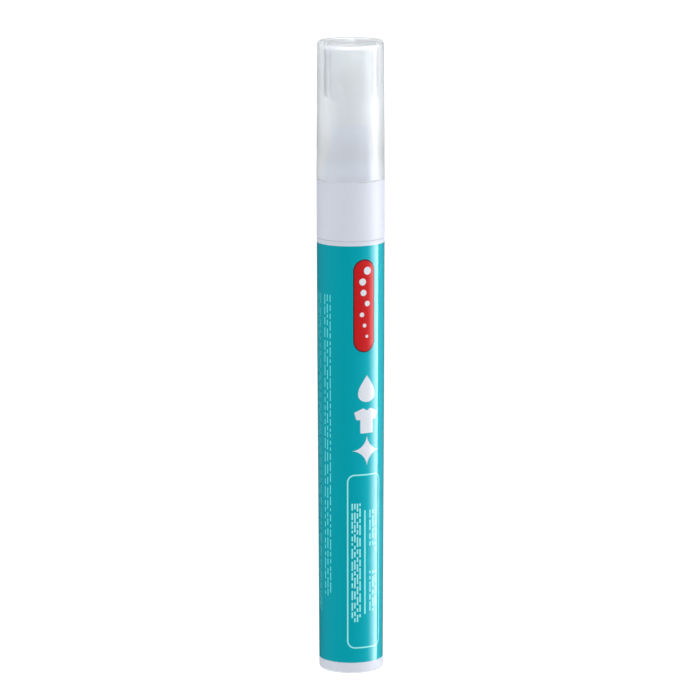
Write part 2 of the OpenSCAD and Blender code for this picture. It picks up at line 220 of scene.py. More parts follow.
def material(name, **sockets):
    """Material with one Principled shader, whose plain values are given with _ for a space. Its node tree,
    the shader and the object coordinates come with it."""
    made = bpy.data.materials.new(name)
    made.use_nodes = True
    tree = made.node_tree
    tree.nodes.clear()
    values = {label.replace("_", " "): value for label, value in sockets.items()}
    shader = node(tree, "BsdfPrincipled", values)
    out = node(tree, "OutputMaterial")
    tree.links.new(shader.outputs[0], out.inputs["Surface"])
    return made, tree, shader, node(tree, "TexCoord").outputs["Object"]


def use(tree, group, **inputs):
    """One effect placed in a material, with its values given with _ for a space."""
    made = tree.nodes.new("ShaderNodeGroup")
    made.node_tree = group
    for label, value in inputs.items():
        socket = made.inputs[label.replace("_", " ")]
        if isinstance(value, bpy.types.NodeSocket):
            tree.links.new(value, socket)
        else:
            socket.default_value = value
    return made.outputs


def blend_colour(tree, share, first, second):
    """Colour that goes from the first to the second with the share."""
    return node(tree, "Mix", {0: share, 6: first, 7: second}, data_type="RGBA").outputs[2]


def raise_by(tree, shader, height, depth):
    """Bump of that depth from a height of 0 to 1, on the shader's normal."""
    bump = node(tree, "Bump", {"Height": height, "Distance": depth, "Strength": 1.0})
    tree.links.new(bump.outputs[0], shader.inputs["Normal"])


def white_plastic_finish(name, worn_z, worn_width):
    """Glossy white polypropylene, which light enters a little way, rubbed at one height."""
    made, tree, shader, at = material(
        name, IOR=1.49, Specular_IOR_Level=0.34, Subsurface_Weight=0.12, Subsurface_Scale=1.2 * mm,
        Subsurface_Radius=(1.0, 0.9, 0.8))
    skin = use(tree, moulded, Vector=at, Peel_Scale=1800.0, Flow_Scale=110.0, Gloss=0.48, Gloss_Spread=0.08)
    marks = use(tree, scuffs, Vector=at, Scale=900.0, Amount=0.35)
    rub = use(tree, rubbed, Vector=at, Height=worn_z, Width=worn_width, Amount=0.6)
    tone = blend_colour(tree, skin["Flow"], (0.755, 0.795, 0.895, 1), (0.785, 0.825, 0.925, 1))
    tone = blend_colour(tree, rub["Mask"], tone, (0.66, 0.66, 0.66, 1))
    tree.links.new(tone, shader.inputs["Base Color"])
    rough = node(tree, "Math", {0: marks["Mask"], 1: 0.25, 2: skin["Roughness"]}, operation="MULTIPLY_ADD")
    rough = node(tree, "Math", {0: rub["Mask"], 1: 0.3, 2: rough.outputs[0]}, operation="MULTIPLY_ADD")
    tree.links.new(rough.outputs[0], shader.inputs["Roughness"])
    lowered = node(tree, "Math", {0: marks["Mask"], 1: -0.5, 2: skin["Height"]}, operation="MULTIPLY_ADD")
    raise_by(tree, shader, lowered.outputs[0], 0.0022 * mm)
    return made


plug_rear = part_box("front_section")[0].z
barrel_bore_r = rim_r - barrel_wall
recess = film_t + glue_t
foot_r = barrel_r(foot_round)
inner_foot_r = barrel_r(barrel_floor + floor_round) - barrel_wall
low_r, mid_r, high_r = barrel_r([label_z0, draft_mid_z, label_z1])
barrel = turned("barrel_tube", rounded([
    (0, foot_hollow_depth - gate_h, 0),
    (gate_r * stub_taper, foot_hollow_depth - gate_h, stub_round),
    (gate_r, foot_hollow_depth, stub_round),
    (foot_hollow_r - foot_hollow_depth, foot_hollow_depth, edge_round),
    (foot_hollow_r, 0, lip_round),
    (foot_r, 0, foot_round),
    (low_r, label_z0, step_round),
    (low_r - recess, label_z0, 0),
    (mid_r - recess, draft_mid_z, 0),
    (high_r - recess, label_z1, 0),
    (high_r, label_z1, step_round),
    (rim_r, barrel_top, seam_round),
    (barrel_bore_r, barrel_top, edge_round),
    (barrel_bore_r, ring_z + ring_half + 2 * ring_out, 0),
    (barrel_bore_r + ring_out, ring_z + ring_half + ring_out, 0),
    (barrel_bore_r + ring_out, ring_z - ring_half - ring_out, 0),
    (barrel_bore_r, ring_z - ring_half - 2 * ring_out, 0),
    (barrel_bore_r, plug_rear, 0),
    (mid_r - barrel_wall, draft_mid_z, 0),
    (inner_foot_r, barrel_floor, floor_round),
    (0, barrel_floor, 0)]))
foot_rub = 1.6 * mm
barrel.data.materials.append(white_plastic_finish("white_barrel", 0.0, foot_rub))
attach(barrel, "pen_body")
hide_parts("barrel")

# Label
# Printed plastic film with a glossy laminate, glued round the barrel in its recess. Its two ends leave a
# narrow seam at the back, and its ground is one solid teal.
label_seam, film_edge = 0.5 * mm, 0.1 * mm
film_columns, film_rows = 240, 49
film_half_turn = math.pi - label_seam / 2 / rim_r


def on_label(across, up, out):
    """Place on the label's face, at arc length across from the middle of the front, at height up, moved out
    by a distance: the angle is across over the radius there, and the place is (R sin a, -R cos a, up)."""
    angle = across / barrel_r(up)
    r = barrel_r(up) + out
    return np.stack([r * np.sin(angle), -r * np.cos(angle), up + 0 * angle], axis=-1)


def plate(name, across, up, low, high, loop=False):
    """Thin closed plates on the label. across and up are arrays of plates, rows and columns. Each plate has
    a face at height high and one at height low over the label's face, joined all round. With loop its rows
    close on themselves."""
    count, rows, columns = across.shape
    places = np.stack([on_label(across, up, high), on_label(across, up, low)], axis=1)
    index = np.arange(count * 2 * rows * columns).reshape(count, 2, rows, columns)
    ring = np.concatenate([index, index[:, :, :1]], axis=2) if loop else index
    a, b, c, d = ring[:, :, :-1, :-1], ring[:, :, 1:, :-1], ring[:, :, 1:, 1:], ring[:, :, :-1, 1:]
    parts = [np.stack([a, b, c, d], axis=-1).reshape(-1, 4)]
    edges = [ring[..., 0], ring[..., -1]] + ([] if loop else [ring[:, :, 0, :], ring[:, :, -1, :]])
    for edge in edges:
        side = np.stack([edge[:, 0, :-1], edge[:, 0, 1:], edge[:, 1, 1:], edge[:, 1, :-1]], axis=-1)
        parts.append(side.reshape(-1, 4))
    return solid(name, places, np.concatenate(parts))


def film_finish(name, colour, second, sheen):
    """Print in one solid colour that wavers a little between two tones, with a soft coloured sheen of its
    own, under a clear gloss laminate."""
    made, tree, shader, at = material(
        name, IOR=1.5, Specular_IOR_Level=0.8, Specular_Tint=sheen, Coat_Weight=1.0, Coat_Roughness=0.07,
        Coat_IOR=1.5)
    skin = use(tree, moulded, Vector=at, Peel_Scale=700.0, Flow_Scale=60.0, Gloss=0.54, Gloss_Spread=0.1)
    marks = use(tree, scuffs, Vector=at, Scale=1100.0, Amount=0.3)
    tone = blend_colour(tree, skin["Flow"], colour, second)
    tree.links.new(tone, shader.inputs["Base Color"])
    rough = node(tree, "Math", {0: marks["Mask"], 1: 0.2, 2: skin["Roughness"]}, operation="MULTIPLY_ADD")
    tree.links.new(rough.outputs[0], shader.inputs["Roughness"])
    raise_by(tree, shader, skin["Height"], 0.0012 * mm)
    return made


film_turns = np.linspace(-film_half_turn, film_half_turn, film_columns)
film_heights = np.concatenate([
    [label_z0, label_z0 + film_edge],
    np.linspace(label_z0, label_z1, film_rows)[1:-1],
    [label_z1 - film_edge, label_z1]])
film_up, film_turn = np.meshgrid(film_heights, film_turns, indexing="ij")
label = plate("label_film", (film_turn * barrel_r(film_up))[None], film_up[None], -film_t, 0.0)
teal = film_finish("teal_film", (0.0010, 0.405, 0.505, 1), (0.0013, 0.435, 0.540, 1), (0.0, 1.0, 1.0, 1))
label.data.materials.append(teal)
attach(label, "pen_body")
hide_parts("label")

# Print on the label
# Inks under the label's laminate, which share its gloss and stand proud by about a hundredth of a
# millimetre: a frame with a rule, rows of short dashes, three plain laundry signs, and a bar with bubbles.
ink_low, ink_high, second_ink = -0.02 * mm, 0.008 * mm, 0.005 * mm
line_columns, sign_rings = 5, 14
white_ink = film_finish("white_ink", (0.80, 0.85, 0.93, 1), (0.84, 0.88, 0.95, 1), (0.3, 0.3, 0.3, 1))
pale_ink = film_finish("pale_ink", (0.36, 0.96, 0.99, 1), (0.40, 0.98, 1.0, 1), (0.0, 0.4, 0.4, 1))
side_ink = film_finish("side_ink", (0.17, 0.95, 0.98, 1), (0.21, 0.97, 0.99, 1), (0.0, 0.4, 0.4, 1))
red_ink = film_finish("red_ink", (0.62, 0.010, 0.012, 1), (0.68, 0.014, 0.016, 1), (1.0, 0.1, 0.1, 1))
dark_ink = film_finish("dark_ink", (0.050, 0.008, 0.012, 1), (0.065, 0.010, 0.016, 1), (0.1, 0.1, 0.1, 1))


def ink(piece, colour):
    """Gives a printed shape its ink and lets it ride with the barrel."""
    piece.data.materials.append(colour)
    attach(piece, "pen_body")
    return piece


def even(path, step=0.15 * mm, loop=True):
    """The same path with its points evenly spaced, found by their distance along it, so that a shape
    follows the label's curve closely."""
    path = np.concatenate([path, path[:1]]) if loop else path
    reach = np.concatenate([[0], np.cumsum(np.linalg.norm(np.diff(path, axis=0), axis=1))])
    stops = np.linspace(0, reach[-1], int(reach[-1] / step) + 1)
    stops = stops[:-1] if loop else stops
    return np.stack([np.interp(stops, reach, path[:, k]) for k in (0, 1)], axis=1)


def stroke(name, along, width, loop=False):
    """Line of a given width along a path on the label: each point of the path is moved sideways, along the
    path's normal there, by shares of half the width from -1 to 1."""
    if loop:
        ahead = np.roll(along, -1, axis=0) - np.roll(along, 1, axis=0)
    else:
        ahead = np.gradient(along, axis=0)
    ahead /= np.linalg.norm(ahead, axis=1)[:, None]
    sideways = np.stack([-ahead[:, 1], ahead[:, 0]], axis=1)
    share = np.linspace(-1, 1, line_columns)[None, :, None]
    grid = along[:, None] + sideways[:, None] * share * width / 2
    return plate(name, grid[None, ..., 0], grid[None, ..., 1], ink_low, ink_high, loop)


def sign(name, middle, outline, high=ink_high):
    """Filled shape round a middle point on the label, in rings that share out the outline's distance."""
    share = np.linspace(0, 1, sign_rings)[None, :, None]
    grid = np.array(middle)[None, None] + even(outline)[:, None] * share
    return plate(name, grid[None, ..., 0], grid[None, ..., 1], ink_low, high, loop=True)


# The frame near the foot, a line with round corners, and the rule inside it
frame_left, frame_right, frame_low, frame_high = -0.75 * mm, 7.6 * mm, 6.1 * mm, 46.6 * mm
frame_round, frame_line = 1.7 * mm, 0.33 * mm
rule_across, rule_low, rule_high, rule_line = 3.3 * mm, 14.0 * mm, 38.3 * mm, 0.36 * mm
box_corners = [
    (frame_left, frame_low), (frame_right, frame_low), (frame_right, frame_high), (frame_left, frame_high)]
frame_path = even(rounded([(a, b, frame_round) for a, b in box_corners], closed=True, steps=12))
ink(stroke("print_frame", frame_path, frame_line, loop=True), pale_ink)
rule_path = even(np.array([(rule_across, rule_low), (rule_across, rule_high)]), loop=False)
ink(stroke("print_rule", rule_path, rule_line), pale_ink)

# Rows of short dashes of uneven length. Each column has its ink, left edge, width, number of rows, lower and
# upper height, and the thickness of its dashes. The lengths of dashes and gaps are drawn in millimetres.
dash_least, dash_most, gap_least, gap_most, dash_room = 0.6, 2.6, 0.35, 0.8, 0.8 * mm
dice = np.random.default_rng(4)
columns_of_print = [
    ("print_small_a", side_ink, -10.6 * mm, 2.6 * mm, 3, 14.0 * mm, 88.0 * mm, 0.14 * mm),
    ("print_small_b", side_ink, -7.1 * mm, 2.5 * mm, 3, 18.0 * mm, 88.0 * mm, 0.24 * mm),
    ("print_small_c", pale_ink, 0.0 * mm, 2.4 * mm, 4, 12.2 * mm, 40.0 * mm, 0.34 * mm),
    ("print_small_d", pale_ink, 4.2 * mm, 2.6 * mm, 3, 28.4 * mm, 38.3 * mm, 0.28 * mm),
    ("print_small_e", pale_ink, 4.2 * mm, 2.6 * mm, 3, 14.2 * mm, 24.0 * mm, 0.28 * mm)]
for name, colour, left, width, rows, low, high, thickness in columns_of_print:
    dashes = []
    for row in range(rows):
        across = left + width * (row + 0.5) / rows
        start = high
        while start > low + dash_room:
            end = max(low, start - dice.uniform(dash_least, dash_most) * mm)
            dashes.append((across, end, start))
            start = end - dice.uniform(gap_least, gap_most) * mm
    dashes = np.array(dashes)[:, :, None, None]
    across_share = np.linspace(-0.5, 0.5, 3)[None, None, :]
    up_share = np.linspace(0, 1, 4)[None, :, None]
    across = dashes[:, 0] + across_share * thickness + 0 * up_share
    up = dashes[:, 1] + (dashes[:, 2] - dashes[:, 1]) * up_share + 0 * across_share
    ink(plate(name, across, up, ink_low, ink_high), colour)

# Three plain laundry signs, one above the other: a drop, a shirt and a four-pointed sparkle. The drop
# narrows upwards as sin(a / 2) to a power, and the sparkle is a superellipse with hollow sides.
signs_across, signs_up, sign_size, sign_step = 3.8 * mm, 66.2 * mm, 3.1 * mm, 7.0 * mm
drop_taper, drop_width, drop_lift = 1.3, 0.95, 0.12
sparkle_hollow, sparkle_reach = 0.62, 1.1
shirt_round = 0.18 * mm
angles = np.linspace(0, 2 * math.pi, 144, endpoint=False)
drop_half = np.sin(angles) * np.abs(np.sin(angles / 2)) ** drop_taper
drop = np.stack([drop_half * drop_width, np.cos(angles) + drop_lift], axis=1) * sign_size
shirt_corners = np.array([
    (-0.30, 0.92), (-0.98, 0.62), (-0.82, 0.05), (-0.52, 0.16), (-0.52, -0.95), (0.52, -0.95), (0.52, 0.16),
    (0.82, 0.05), (0.98, 0.62), (0.30, 0.92), (0.0, 0.74)]) * sign_size
shirt = rounded(np.c_[shirt_corners, np.full(len(shirt_corners), shirt_round)], closed=True, steps=5)
sparkle_sum = np.abs(np.cos(angles)) ** sparkle_hollow + np.abs(np.sin(angles)) ** sparkle_hollow
sparkle_r = sparkle_sum ** (-1 / sparkle_hollow) * sign_size * sparkle_reach
sparkle = np.stack([np.cos(angles), np.sin(angles)], axis=1) * sparkle_r[:, None]
signs = [("print_sign_drop", drop), ("print_sign_shirt", shirt), ("print_sign_sparkle", sparkle)]
for number, (name, outline) in enumerate(signs):
    ink(sign(name, (signs_across, signs_up - number * sign_step), outline), white_ink)

# At the top of the print, a plain red bar with round ends and a thin dark rim, and plain bubbles on it
bar_across, bar_low, bar_high, bar_half = 3.2 * mm, 75.2 * mm, 96.0 * mm, 2.4 * mm
bar_rows, bar_columns, rim_line = 80, 9, 0.26 * mm
bar_up = bar_low + (bar_high - bar_low) * (1 - np.cos(np.linspace(0, math.pi, bar_rows))) / 2
bar_edge = np.minimum(np.minimum(bar_up - bar_low, bar_high - bar_up), bar_half)
bar_reach = np.sqrt(np.maximum(bar_half ** 2 - (bar_half - bar_edge) ** 2, 0))
bar_share = np.linspace(-1, 1, bar_columns)
bar_grid_across = bar_across + bar_reach[:, None] * bar_share[None]
bar_grid_up = np.broadcast_to(bar_up[:, None], bar_grid_across.shape)
ink(plate("print_bar", bar_grid_across[None], bar_grid_up[None], ink_low, ink_high), red_ink)
rim_reach = bar_half + rim_line / 2
rim_left, rim_right = bar_across - rim_reach, bar_across + rim_reach
rim_low, rim_high = bar_low - rim_line / 2, bar_high + rim_line / 2
rim_corners = [(rim_left, rim_low), (rim_right, rim_low), (rim_right, rim_high), (rim_left, rim_high)]
just_under = 0.999
rim_path = even(rounded([(a, b, rim_reach * just_under) for a, b in rim_corners], closed=True, steps=16))
ink(stroke("print_bar_rim", rim_path, rim_line, loop=True), dark_ink)
bubbles, bubble_r, bubble_shrink, bubble_step = 7, 0.9 * mm, 0.1, 2.5 * mm
bubble_sway, bubble_turn = 0.75 * mm, 2.2
for number in range(bubbles):
    round_out = np.stack([np.sin(angles), np.cos(angles)], axis=1) * bubble_r * (1 - bubble_shrink * number)
    bubble_across = bar_across + bubble_sway * math.cos(bubble_turn * number)
    bubble_up = bar_high - bar_half - number * bubble_step
    bubble = sign("print_bubble_%d" % number, (bubble_across, bubble_up), round_out, ink_high + second_ink)
    ink(bubble, white_ink)

# Front section
# One moulding in the barrel's white plastic: a collar flush with the cap, a plug pushed down into the
# barrel, and above the collar a neck with a snap bead, a nose and the tube that holds the nib.
body_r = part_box("front_section")[1].x
collar_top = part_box("cap")[0].z
tube_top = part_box("front_section")[1].z
nib_low, nib_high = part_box("nib")
nib_r = nib_high.x
push_gap, nib_gap = 0.05 * mm, 0.06 * mm
neck_h, flare_h, nose_h, seal_cone_h = 2.65 * mm, 3.55 * mm, 4.4 * mm, 2.8 * mm
neck_inset, plug_wall, tube_wall, ledge_w = 1.35 * mm, 1.1 * mm, 0.65 * mm, 0.55 * mm
seal_cone_w, nose_wall, nose_draft, chamber_rise = 1.3 * mm, 1.3 * mm, 0.25 * mm, 1.0 * mm
neck_r = body_r - neck_inset
neck_top = collar_top + neck_h
flare_top = neck_top + flare_h
nose_top = flare_top + nose_h
cone_top = nose_top + seal_cone_h
nib_bore_r = nib_r + nib_gap
tube_r = nib_bore_r + tube_wall
nose_r = tube_r + seal_cone_w
nose_low_r = nose_r + nose_draft
bead, bead_h, neck_round = 0.15 * mm, 0.9 * mm, 0.4 * mm
bead_z = collar_top + neck_h / 2
plug_r = barrel_bore_r - push_gap
valve_bore_r = plug_r - plug_wall
seat_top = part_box("valve_body")[1].z
chamber_low_r = valve_bore_r - push_gap - ledge_w
chamber_high_r = nose_low_r - nose_wall
chamber_top = flare_top + chamber_rise
flutes, flute_depth, flute_width, flute_side = 4, 0.3 * mm, 0.6 * mm, 0.1 * mm
front_steps, bore_margin = 240, 0.1 * mm
neck_fillet, bead_fillet, bead_round = 0.15 * mm, 0.1 * mm, 0.12 * mm
flare_round, nose_round, cone_round, tube_round = 0.5 * mm, 0.4 * mm, 0.4 * mm, 0.2 * mm
nib_lip_round, funnel_round, chamber_round = 0.06 * mm, 0.2 * mm, 0.3 * mm

front_profile = rounded([
    (valve_bore_r, plug_rear, 0),
    (plug_r - ring_out, plug_rear, 0),
    (plug_r, plug_rear + ring_out, 0),
    (plug_r, ring_z - ring_half, 0),
    (plug_r + ring_out, ring_z - ring_half + ring_out, 0),
    (plug_r + ring_out, ring_z + ring_half - ring_out, 0),
    (plug_r, ring_z + ring_half, 0),
    (plug_r, barrel_top, 0),
    (body_r, barrel_top, seam_round),
    (body_r, collar_top, seam_round),
    (neck_r, collar_top, neck_fillet),
    (neck_r, bead_z - bead_h / 2, bead_fillet),
    (neck_r + bead, bead_z - bead_h / 4, bead_round),
    (neck_r + bead, bead_z + bead_h / 4, bead_round),
    (neck_r, bead_z + bead_h / 2, bead_fillet),
    (neck_r, neck_top, neck_round),
    (nose_low_r, flare_top, flare_round),
    (nose_r, nose_top, nose_round),
    (tube_r, cone_top, cone_round),
    (tube_r, tube_top, tube_round),
    (nib_bore_r, tube_top, nib_lip_round),
    (nib_bore_r, chamber_top + chamber_high_r - nib_bore_r, funnel_round),
    (chamber_high_r, chamber_top, chamber_round),
    (chamber_low_r, neck_top, chamber_round),
    (chamber_low_r, seat_top, 0),
    (valve_bore_r, seat_top, 0)], closed=True, steps=10, hold=0.08 * mm)
front_turns = np.linspace(0, 2 * math.pi, front_steps, endpoint=False)
flute_turn = (front_turns * flutes / (2 * math.pi) + 0.5) % 1 - 0.5
flute_away = np.abs(flute_turn) * 2 * math.pi / flutes * nib_bore_r
flute_share = np.clip((flute_width / 2 - flute_away) / flute_side + 0.5, 0, 1)
in_tube = (front_profile[:, 0] < nib_bore_r + bore_margin) & (front_profile[:, 1] > chamber_top)
front_bulge = in_tube[:, None] * flute_share[None] * flute_depth
front = turned("front_section_moulding", front_profile, closed=True, turns=front_turns, bulge=front_bulge)
collar_rub = 0.5 * mm
front.data.materials.append(white_plastic_finish("white_front_section", collar_top, collar_rub))
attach(front, "pen_body")
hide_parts("front_section")

# Valve
# The works in the front section: a cup and a ported retainer in natural acetal, a dark rubber ring under
# the seat, a stem with a disc that shuts on the ring, and a stainless coil spring that lifts the stem.


def valve_finish(name, grain, colour, second, depth, **sockets):
    """Material of a small piece of the valve, which wavers a little between two tones. grain holds the
    scale of the peel, the scale of the flow, the gloss and its spread. depth is how deep the peel is."""
    made, tree, shader, at = material(name, **sockets)
    peel_scale, flow_scale, gloss, gloss_spread = grain
    skin = use(tree, moulded, Vector=at, Peel_Scale=peel_scale, Flow_Scale=flow_scale, Gloss=gloss,
               Gloss_Spread=gloss_spread)
    tone = blend_colour(tree, skin["Flow"], colour, second)
    tree.links.new(tone, shader.inputs["Base Color"])
    tree.links.new(skin["Roughness"], shader.inputs["Roughness"])
    raise_by(tree, shader, skin["Height"], depth)
    return made


acetal = valve_finish(
    "natural_acetal", (5000.0, 300.0, 0.42, 0.12), (0.80, 0.78, 0.70, 1), (0.85, 0.83, 0.76, 1), 0.003 * mm,
    IOR=1.48)
rubber = valve_finish(
    "dark_rubber", (9000.0, 500.0, 0.72, 0.2), (0.028, 0.028, 0.030, 1), (0.05, 0.05, 0.053, 1), 0.006 * mm,
    IOR=1.5)
works = {"valve_body": acetal, "spring_retainer": acetal, "valve_stem": acetal, "valve_gasket": rubber}
for name, finish in works.items():
    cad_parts[name].data.materials.clear()
    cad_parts[name].data.materials.append(finish)

wire_steel = valve_finish(
    "drawn_wire", (14000.0, 2500.0, 0.26, 0.16), (0.52, 0.52, 0.53, 1), (0.64, 0.63, 0.62, 1), 0.0015 * mm,
    Metallic=1.0)

# The wire climbs slowly in its first and last turn, so that the ends lie flat, and quickly in between
wire_r, closed_gap = 0.2 * mm, 0.03 * mm
coil_pitch, coil_end_turns, ease_turns, coil_steps = 1.45 * mm, 1.0, 0.35, 420
coil_low, coil_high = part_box("valve_spring")
coil_r = coil_high.x - wire_r
rise = coil_high.z - coil_low.z - 2 * wire_r
closed_pitch = 2 * wire_r + closed_gap
open_turns = (rise - 2 * coil_end_turns * closed_pitch) / coil_pitch
coil_turns = open_turns + 2 * coil_end_turns
last_turn = coil_turns - coil_end_turns
turn = np.linspace(0, coil_turns, coil_steps)
pitch = np.interp(
    turn,
    [0, coil_end_turns, coil_end_turns + ease_turns, last_turn - ease_turns, last_turn, coil_turns],
    [closed_pitch, closed_pitch, coil_pitch, coil_pitch, closed_pitch, closed_pitch])
climb = np.concatenate([[0], np.cumsum((pitch[1:] + pitch[:-1]) / 2 * np.diff(turn))])
climb *= rise / climb[-1]


def wire(name, centre, radius, sides=14):
    """Round wire along a path: at each point of the path, a ring of the wire's radius stands square to it,
    turned from the direction away from the pen's axis. A cone closes either end."""
    ahead = np.gradient(centre, axis=0)
    ahead /= np.linalg.norm(ahead, axis=1)[:, None]
    out = centre * (1, 1, 0)
    out -= (out * ahead).sum(1)[:, None] * ahead
    out /= np.linalg.norm(out, axis=1)[:, None]
    beside = np.cross(ahead, out)
    side = np.linspace(0, 2 * math.pi, sides, endpoint=False)[None, :, None]
    skin_rings = centre[:, None] + radius * (np.cos(side) * out[:, None] + np.sin(side) * beside[:, None])
    tips = np.broadcast_to(centre[[0, -1], None], (2, sides, 3))
    rings = np.concatenate([tips[:1], skin_rings, tips[1:]])
    i, j = np.arange(len(rings) - 1)[:, None], np.arange(sides)[None, :]
    i_on, j_on = i + 1, (j + 1) % sides
    faces = np.stack([i * sides + j, i * sides + j_on, i_on * sides + j_on, i_on * sides + j], axis=2)
    return solid(name, rings, faces, sharp=50)


coil_path = np.stack([
    coil_r * np.cos(2 * math.pi * turn),
    coil_r * np.sin(2 * math.pi * turn),
    coil_low.z + wire_r + climb], axis=1)
spring = wire("valve_spring_coil", coil_path, wire_r)
spring.data.materials.append(wire_steel)
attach(spring, "pen_body")
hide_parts("valve_spring")
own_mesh(spring)

# Nib
# Rod of polyester fibres bonded side by side, ground to a bullet tip. It slides in the front section's
# tube, and the valve stem's head stands under it.
nib_tip_h, nib_chamfer = 3.6 * mm, 0.4 * mm
side_from, side_to, side_steps, tip_steps = 2 * mm, 1 * mm, 6, 20
fibre_ridges, ridge_steps, fibre_depth = 72, 4, 0.018 * mm
tip_angle = np.linspace(0, math.pi / 2, tip_steps)
side_up = np.linspace(nib_low.z + side_from, nib_high.z - nib_tip_h - side_to, side_steps)
nib_profile = np.concatenate([
    [(0, nib_low.z), (nib_r - nib_chamfer, nib_low.z), (nib_r, nib_low.z + nib_chamfer)],
    np.stack([np.full(side_steps, nib_r), side_up], axis=1),
    np.stack([nib_r * np.cos(tip_angle), nib_high.z - nib_tip_h + nib_tip_h * np.sin(tip_angle)], axis=1)])
nib_profile[-1, 0] = 0
nib_turns = np.linspace(0, 2 * math.pi, fibre_ridges * ridge_steps, endpoint=False)
unevenness = 0.6 + 0.4 * np.sin(nib_turns * 7) * np.sin(nib_turns * 11)
ridges = np.sin(nib_turns * fibre_ridges / 2) ** 2 * unevenness
nib_bulge = -fibre_depth * ridges[None] * (nib_profile[:, :1] / nib_r) ** 2
nib = turned("nib_fibre_rod", nib_profile, turns=nib_turns, bulge=nib_bulge)

fibre, tree, shader, at = material("bonded_fibre", IOR=1.45, Sheen_Weight=0.25, Sheen_Roughness=0.5)
laid = node(tree, "Mapping", {"Vector": at, "Scale": (1.0, 1.0, 0.05)})
strands = node(tree, "TexNoise", {"Vector": laid.outputs[0], "Scale": 9000.0, "Detail": 3.0})
soil = node(tree, "TexNoise", {"Vector": at, "Scale": 500.0, "Detail": 4.0})
tone = blend_colour(tree, strands.outputs["Fac"], (0.66, 0.66, 0.63, 1), (0.88, 0.88, 0.86, 1))
soiled = node(tree, "Math", {0: soil.outputs["Fac"], 1: 0.12}, operation="MULTIPLY")
tone = blend_colour(tree, soiled.outputs[0], tone, (0.62, 0.64, 0.62, 1))
tree.links.new(tone, shader.inputs["Base Color"])
dry = node(tree, "MapRange", {"Value": strands.outputs["Fac"], "To Min": 0.75, "To Max": 0.95})
tree.links.new(dry.outputs[0], shader.inputs["Roughness"])
raise_by(tree, shader, strands.outputs["Fac"], 0.03 * mm)
nib.data.materials.append(fibre)
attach(nib, "nib_set")
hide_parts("nib")

# Cap
# Translucent natural polypropylene, moulded through a gate in the middle of its top. Inside, a sleeve hangs
# from the roof and seals on the nose's cone, and two pairs of ribs stiffen the wall under the roof.
cap_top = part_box("cap")[1].z
cap_draft, cap_wall, bore_draft, roof_t = 0.24 * mm, 1.15 * mm, 0.12 * mm, 1.4 * mm
sleeve_wall, sleeve_bevel, seal_gap = 0.95 * mm, 0.3 * mm, 0.2 * mm
roof_z = cap_top - roof_t
cap_round, dimple_r, dimple_depth = 0.8 * mm, 1.3 * mm, 0.3 * mm
cap_bore_r = body_r - cap_wall
sleeve_bore_r = (tube_r + nose_r) / 2
sleeve_r = sleeve_bore_r + sleeve_wall
sleeve_z = nose_top + seal_cone_h * (nose_r - sleeve_bore_r) / (nose_r - tube_r) + seal_gap
rib_h, rib_w, rib_depth, rib_side = 10.8 * mm, 1.4 * mm, 0.55 * mm, 0.16 * mm
rib_angle, cap_turn = math.radians(53.5), math.radians(2.7)
stub_r, stub_h = 0.45 * mm, 0.16 * mm
roof_round, bevel_round, sleeve_round = 0.25 * mm, 0.15 * mm, 0.2 * mm

# The bore's rings lie closer together round the ribs' ends, and its turns where the ribs are. The third row
# of values says how closely rings, turns and faces are told apart.
bore_rows, end_rows, rib_columns = 8, 20, 33
below_roof, end_room, row_gap = 0.6 * mm, 0.4 * mm, 0.1 * mm
hair, whisker, fillet_clear, sleeve_clear, same_turn = 0.01 * mm, 0.001 * mm, 0.3 * mm, 1 * mm, 0.002
rib_end_z = roof_z - rib_h + rib_w / 2
bore_heights = np.concatenate([
    np.linspace(roof_z - below_roof, rib_end_z + end_room + row_gap, bore_rows),
    np.linspace(rib_end_z + end_room, rib_end_z - rib_w / 2 - end_room, end_rows),
    [neck_top]])
bore_radii = np.interp(bore_heights, [neck_top, roof_z], [cap_bore_r, cap_bore_r - bore_draft])
cap_profile = rounded([
    (0, roof_z, 0),
    (sleeve_bore_r, roof_z, roof_round),
    (sleeve_bore_r, sleeve_z + sleeve_bevel, bevel_round),
    (sleeve_bore_r + sleeve_bevel, sleeve_z, edge_round),
    (sleeve_r, sleeve_z, sleeve_round),
    (sleeve_r, roof_z, roof_round),
    (cap_bore_r - bore_draft, roof_z, roof_round),
    *[(r, z, 0) for r, z in zip(bore_radii, bore_heights)],
    (cap_bore_r, collar_top, seam_round),
    (body_r, collar_top, seam_round),
    (body_r - cap_draft, cap_top, cap_round),
    (dimple_r, cap_top, lip_round),
    (dimple_r - dimple_depth, cap_top - dimple_depth, edge_round),
    (stub_r, cap_top - dimple_depth, stub_round),
    (stub_r * stub_taper, cap_top - dimple_depth + stub_h, stub_round),
    (0, cap_top - dimple_depth + stub_h, 0)])
rib_places = np.array([side + half * rib_angle for side in (0, math.pi) for half in (-1, 1)])
rib_places = (rib_places + cap_turn - math.pi / 2) % (2 * math.pi)
rib_span = (rib_w / 2 + 2 * rib_side) / cap_bore_r
fine_turns = rib_places[:, None] + np.linspace(-rib_span, rib_span, rib_columns)[None]
even_turns = np.linspace(0, 2 * math.pi, round_steps, endpoint=False)
cap_turns = np.sort(np.concatenate([fine_turns.ravel() % (2 * math.pi), even_turns]))
cap_turns = cap_turns[np.concatenate([[True], np.diff(cap_turns) > same_turn])]


def from_rib(turn, z):
    """Distance on the bore from the nearest rib's middle line, which stops at its round end's centre."""
    beside = (turn[..., None] - rib_places + math.pi) % (2 * math.pi) - math.pi
    return np.hypot(np.abs(beside).min(axis=-1) * cap_bore_r, np.maximum(rib_end_z - z, 0))


